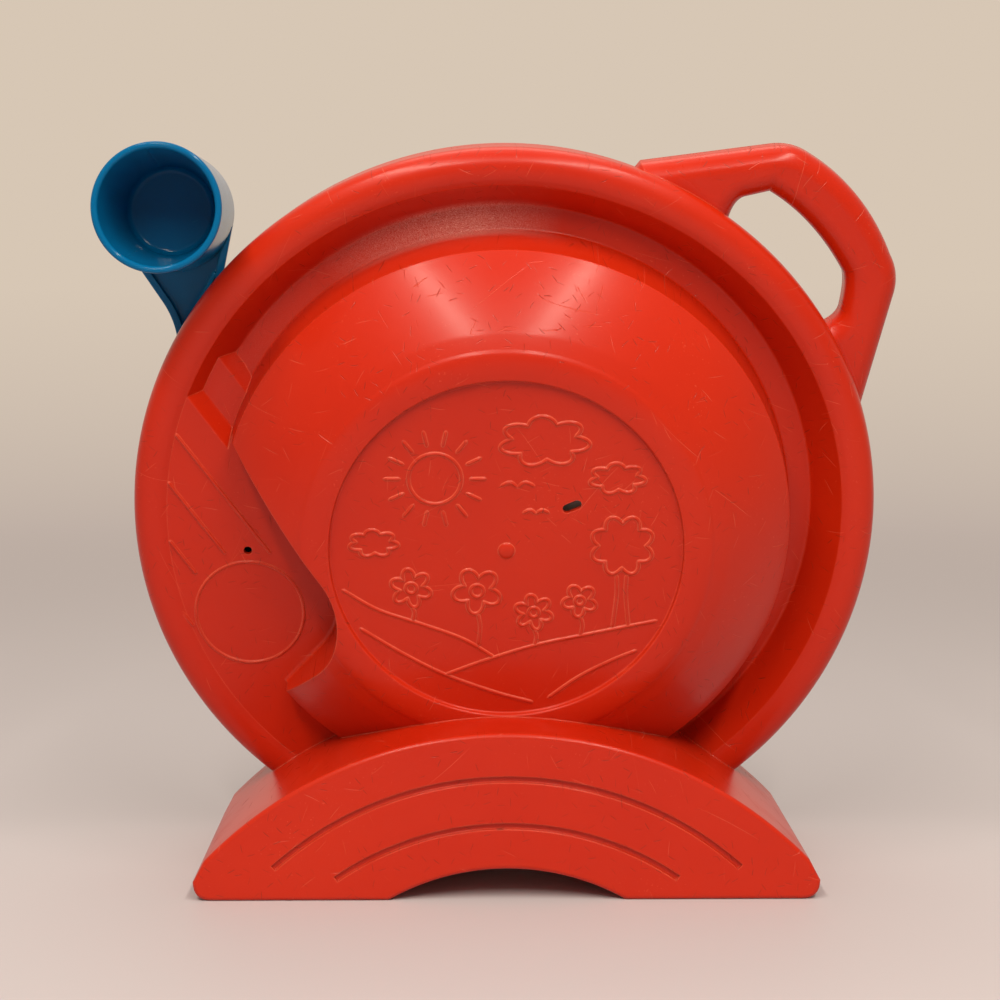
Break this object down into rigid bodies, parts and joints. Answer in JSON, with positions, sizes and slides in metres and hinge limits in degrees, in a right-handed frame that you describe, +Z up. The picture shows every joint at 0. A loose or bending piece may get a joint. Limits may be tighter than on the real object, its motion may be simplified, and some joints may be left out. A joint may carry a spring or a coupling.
{
  "type": "animal sound spinner toy",
  "caption": "Leaning round drum on an arched foot with a carrying handle and a pull lever that winds a spring driven pointer and sound works.",
  "frame": {"origin": "middle of the toy's length and depth, on the surface it stands on", "axes": "+Z up, +X to the right seen from the back (the side with the cone), +Y towards the dial side"},
  "size_m": [0.2596, 0.1038, 0.2441],
  "materials": {
    "housing_plastic": "glossy moulded red-orange plastic with light scuffs",
    "lever_plastic": "glossy moulded teal-blue plastic",
    "dial_card": "printed card with a satin film",
    "gear_plastic": "satin off-white moulded plastic",
    "dark_plastic": "satin dark plastic",
    "steel": "plain drawn steel",
    "brass": "turned brass",
    "rubber": "matt black rubber"
  },
  "bodies": {
    "housing": {"rear_shell": "housing_plastic", "front_shell": "housing_plastic", "picture_dial": "dial_card", "chassis_plate": "dark_plastic", "spindle_bush": "brass", "sound_cone": "gear_plastic", "tone_arm_pin": "steel", "governor_bell": "gear_plastic", "lever_pin": "steel", "drive_belt": "rubber", "case_screw_1": "steel", "case_screw_2": "steel", "case_screw_3": "steel", "case_screw_4": "steel", "chassis_screw_1": "steel", "chassis_screw_2": "steel", "chassis_screw_3": "steel"},
    "lever_body": {"lever": "lever_plastic", "sector_gear": "gear_plastic"},
    "winder": {"winding_pinion": "gear_plastic", "spring_barrel": "gear_plastic", "mainspring": "steel"},
    "spindle_body": {"spindle": "steel", "turntable": "dark_plastic", "record_disc": "dark_plastic", "pointer": "lever_plastic", "pointer_cap": "lever_plastic"},
    "governor": {"governor_shaft": "steel", "governor_pulley": "brass", "governor_rotor": "dark_plastic", "governor_weight_1": "brass", "governor_weight_2": "brass"},
    "tone_arm_body": {"tone_arm": "gear_plastic", "stylus": "steel"}
  },
  "joints": [
    {"name": "lever_pull", "type": "hinge", "parent": "housing", "child": "lever_body", "pos_m": [-0.08656, 0.02338, 0.09089], "axis": [0, -0.972, -0.2351], "range_deg": [0, 55], "stiffness_Nm_per_rad": 1.2, "springref_deg": -22.92},
    {"name": "winder_turn", "type": "hinge", "parent": "housing", "child": "winder", "pos_m": [0.0002, -0.00199, 0.1192], "axis": [0, -0.972, -0.2351], "range_deg": [-372, 0]},
    {"name": "pointer_spin", "type": "hinge", "parent": "housing", "child": "spindle_body", "pos_m": [0.0002, -0.00199, 0.1192], "axis": [0, -0.972, -0.2351], "continuous": true},
    {"name": "governor_spin", "type": "hinge", "parent": "housing", "child": "governor", "pos_m": [0.0487, -0.00857, 0.14641], "axis": [0, -0.972, -0.2351], "continuous": true},
    {"name": "tone_arm_swing", "type": "hinge", "parent": "housing", "child": "tone_arm_body", "pos_m": [0.04424, -0.02083, 0.12902], "axis": [0, -0.972, -0.2351], "range_deg": [0, 22]}
  ],
  "couplings": [
    {"joint": "winder_turn", "follows": "lever_pull", "ratio": -6.75},
    {"joint": "governor_spin", "follows": "pointer_spin", "ratio": 6.825}
  ]
}
